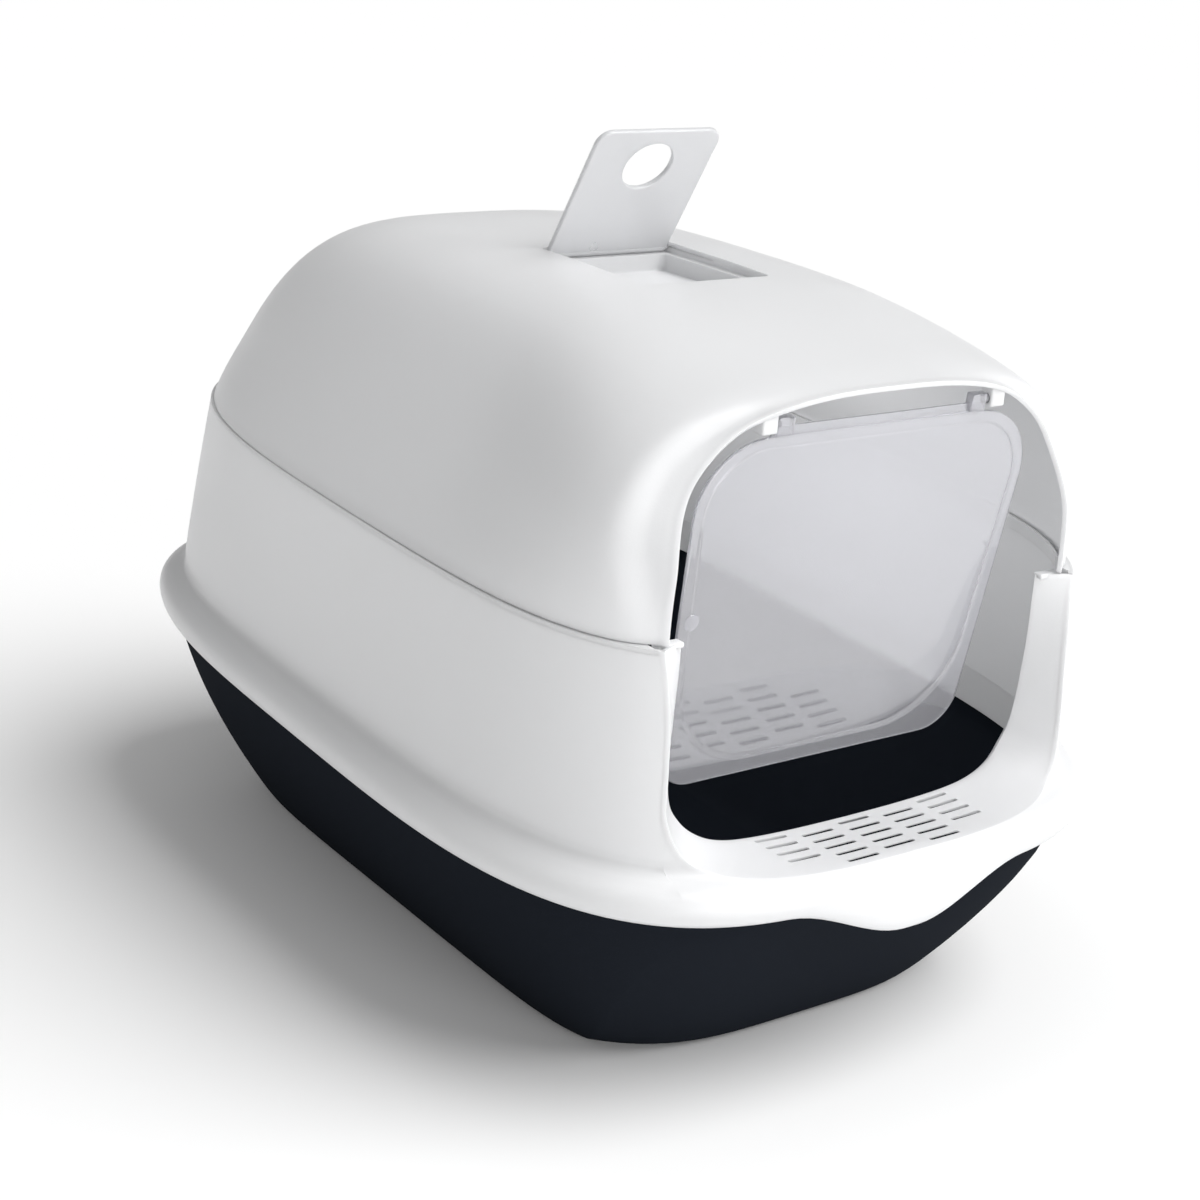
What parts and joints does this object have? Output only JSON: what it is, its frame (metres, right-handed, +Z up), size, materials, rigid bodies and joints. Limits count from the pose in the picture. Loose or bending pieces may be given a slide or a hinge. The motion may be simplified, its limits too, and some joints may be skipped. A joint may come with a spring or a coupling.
{
  "type": "cat litter box",
  "caption": "Hooded cat litter box: tapered tray, lift-off hood in two shells, slotted entry step, swinging flap door and fold-down handle.",
  "frame": {"origin": "centre of the footprint, on the floor under the tray", "axes": "+Z up, the entry faces -Y, +X to the right seen from the entry"},
  "size_m": [0.39, 0.56, 0.4367],
  "materials": {
    "tray": "black moulded plastic, fine satin grain",
    "hood": "white moulded plastic, soft sheen",
    "door": "translucent smoky sheet, glossy",
    "handle": "milky translucent moulding, glossy"
  },
  "bodies": {
    "tray": {"base_tray": "tray"},
    "hood_lower": {"lower_hood": "hood"},
    "hood_upper": {"upper_hood": "hood"},
    "door": {"flap_door": "door"},
    "handle": {"fold_handle": "handle"}
  },
  "joints": [
    {"name": "hood_lift", "type": "slide", "parent": "tray", "child": "hood_lower", "axis": [0, 0, 1], "range_m": [0, 0.25]},
    {"name": "dome_lift", "type": "slide", "parent": "hood_lower", "child": "hood_upper", "axis": [0, 0, 1], "range_m": [0, 0.2]},
    {"name": "door_swing", "type": "hinge", "parent": "hood_upper", "child": "door", "pos_m": [0, -0.218, 0.332], "axis": [1, 0, 0], "range_deg": [-63, 62]},
    {"name": "handle_fold", "type": "hinge", "parent": "hood_upper", "child": "handle", "pos_m": [0, 0.013, 0.3644], "axis": [1, 0, 0], "range_deg": [-50, 59]}
  ]
}
